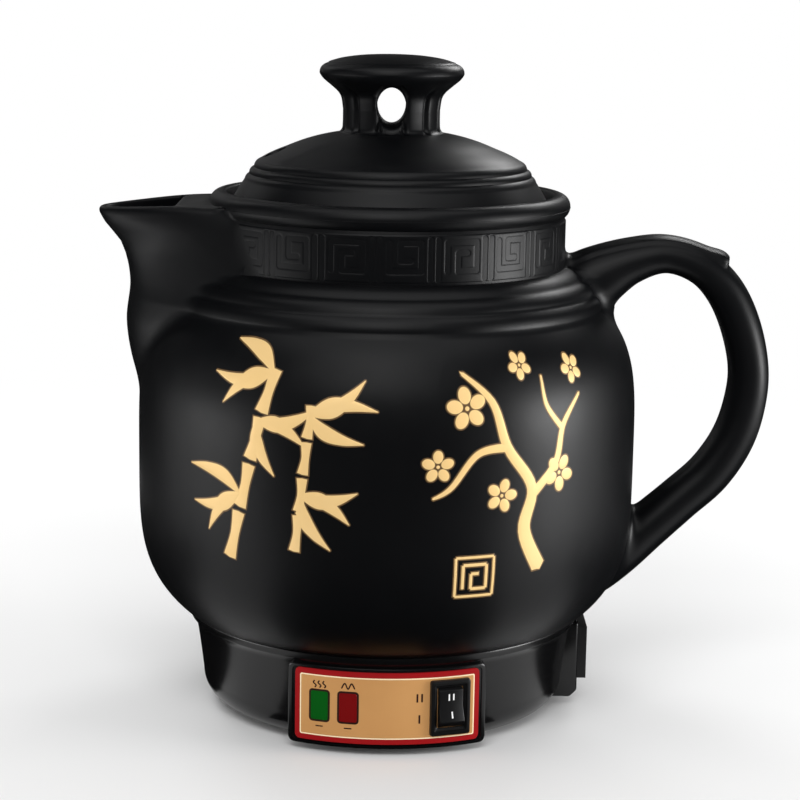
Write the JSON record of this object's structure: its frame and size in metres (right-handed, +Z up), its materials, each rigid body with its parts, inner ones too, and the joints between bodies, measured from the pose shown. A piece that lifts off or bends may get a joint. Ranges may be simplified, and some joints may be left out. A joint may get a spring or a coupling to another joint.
{
  "type": "electric herbal medicine pot",
  "caption": "Ceramic jug for decocting herbs: beak spout with strainer, loop handle, loose lid with a knob, and an electric base with a rocker switch and power inlet.",
  "frame": {"origin": "on the pot's axis, in the plane of the rubber ring that it rests on", "axes": "+Z up, -X towards the spout, +X towards the handle and the power inlet, -Y towards the control panel"},
  "size_m": [0.2703, 0.2, 0.2624],
  "materials": {
    "ceramic_black": "satin black glaze",
    "gloss_black": "glossy moulded plastic",
    "matte_black": "fine matte plastic",
    "rubber_black": "soft matte",
    "label_gold": "satin gold print on a thin plate",
    "lens_green": "tinted clear lens",
    "lens_red": "tinted clear lens",
    "lamp_cream": "diffuse",
    "screw_steel": "zinc plated",
    "pin_steel": "nickel plated",
    "heater_steel": "polished stainless",
    "tab_brass": "plain",
    "silicone_red": "smooth silicone",
    "insulator_cream": "unglazed"
  },
  "bodies": {
    "pot": {"pot_body": "ceramic_black", "seat_ring": "rubber_black", "base_shell": "gloss_black", "base_cover": "matte_black", "foot_ring": "rubber_black", "cover_screw_1": "screw_steel", "cover_screw_2": "screw_steel", "cover_screw_3": "screw_steel", "cover_screw_4": "screw_steel", "panel_frame": "gloss_black", "panel_label": "label_gold", "warm_window": "lens_green", "heat_window": "lens_red", "warm_lamp": "lamp_cream", "heat_lamp": "lamp_cream", "switch_housing": "matte_black", "switch_tabs": "tab_brass", "inlet_socket": "matte_black", "inlet_pin_live": "pin_steel", "inlet_pin_earth": "pin_steel", "inlet_pin_neutral": "pin_steel", "heater_flange": "heater_steel", "heater_tube": "heater_steel", "sensor_pocket": "heater_steel", "flange_gasket": "silicone_red", "flange_nut": "tab_brass", "fixing_bracket": "screw_steel", "heater_tab_1": "tab_brass", "heater_tab_2": "tab_brass", "thermostat": "insulator_cream", "thermal_cutout": "insulator_cream"},
    "lid": {"lid": "ceramic_black"},
    "rocker": {"switch_rocker": "matte_black"}
  },
  "joints": [
    {"name": "lid_lift", "type": "slide", "parent": "pot", "child": "lid", "axis": [0, 0, 1], "range_m": [0, 0.06]},
    {"name": "rocker_tilt", "type": "hinge", "parent": "pot", "child": "rocker", "pos_m": [0.02487, -0.07182, 0.0194], "axis": [0.9449, 0.3272, 0], "range_deg": [0, 22]}
  ]
}
